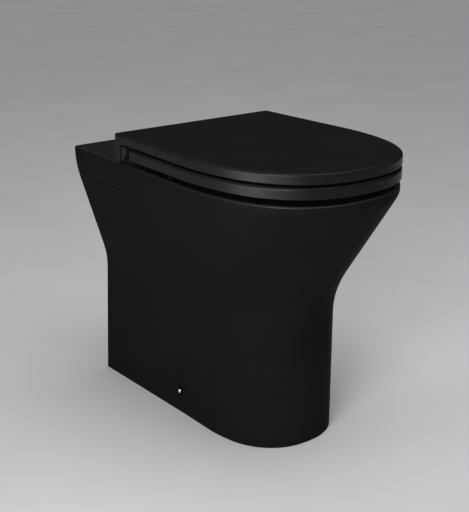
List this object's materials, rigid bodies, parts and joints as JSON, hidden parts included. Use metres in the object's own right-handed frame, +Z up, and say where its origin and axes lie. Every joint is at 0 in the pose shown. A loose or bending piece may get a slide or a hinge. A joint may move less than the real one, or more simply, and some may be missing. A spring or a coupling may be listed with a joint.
{
  "type": "back to wall toilet",
  "caption": "Black floor-standing back to wall toilet: a tapering china pan with a hidden trapway, a hinged seat ring and a flat wrap-over lid.",
  "frame": {"origin": "on the floor, in the wall plane, on the centre line", "axes": "+Y points into the wall, -Y is the front, +Z is up, +X is right as seen from the front"},
  "size_m": [0.351, 0.595, 0.5066],
  "materials": {
    "black_glaze": "satin",
    "black_cover": "satin",
    "chrome": "polished",
    "steel": "zinc plated",
    "black_rubber": "matte",
    "white_nylon": "matte",
    "grey_damper": "satin",
    "black_fitting": "matte"
  },
  "bodies": {
    "pan": {"pan": "black_glaze", "bowl": "black_glaze", "trapway": "black_glaze", "hinge_base_left": "chrome", "hinge_base_right": "chrome", "hinge_post_left": "chrome", "hinge_post_right": "chrome", "hinge_pin_left": "steel", "hinge_pin_right": "steel", "hinge_studs": "steel", "deck_bushes": "black_rubber", "hinge_washers": "black_rubber", "hinge_nuts": "steel", "floor_bracket_left": "white_nylon", "floor_bracket_right": "white_nylon", "side_sleeves": "white_nylon", "side_screws": "steel", "screw_cap_left": "chrome", "screw_cap_right": "chrome", "inlet_seal": "black_rubber", "flush_splitter": "black_fitting"},
    "seat": {"seat": "black_cover", "seat_bracket_left": "steel", "seat_bracket_right": "steel", "seat_screws": "steel", "seat_buffers_front": "black_rubber", "seat_buffers_rear": "black_rubber", "seat_damper": "grey_damper", "seat_bush": "white_nylon"},
    "lid": {"lid": "black_cover", "lid_bracket_left": "steel", "lid_bracket_right": "steel", "lid_screws": "steel", "lid_buffers": "black_rubber", "lid_damper": "grey_damper", "lid_bush": "white_nylon"}
  },
  "joints": [
    {"name": "seat_hinge", "type": "hinge", "parent": "pan", "child": "seat", "pos_m": [0, -0.1627, 0.49], "axis": [-1, 0, 0], "range_deg": [0, 95]},
    {"name": "lid_hinge", "type": "hinge", "parent": "seat", "child": "lid", "pos_m": [0, -0.1627, 0.49], "axis": [-1, 0, 0], "range_deg": [0, 90]}
  ]
}
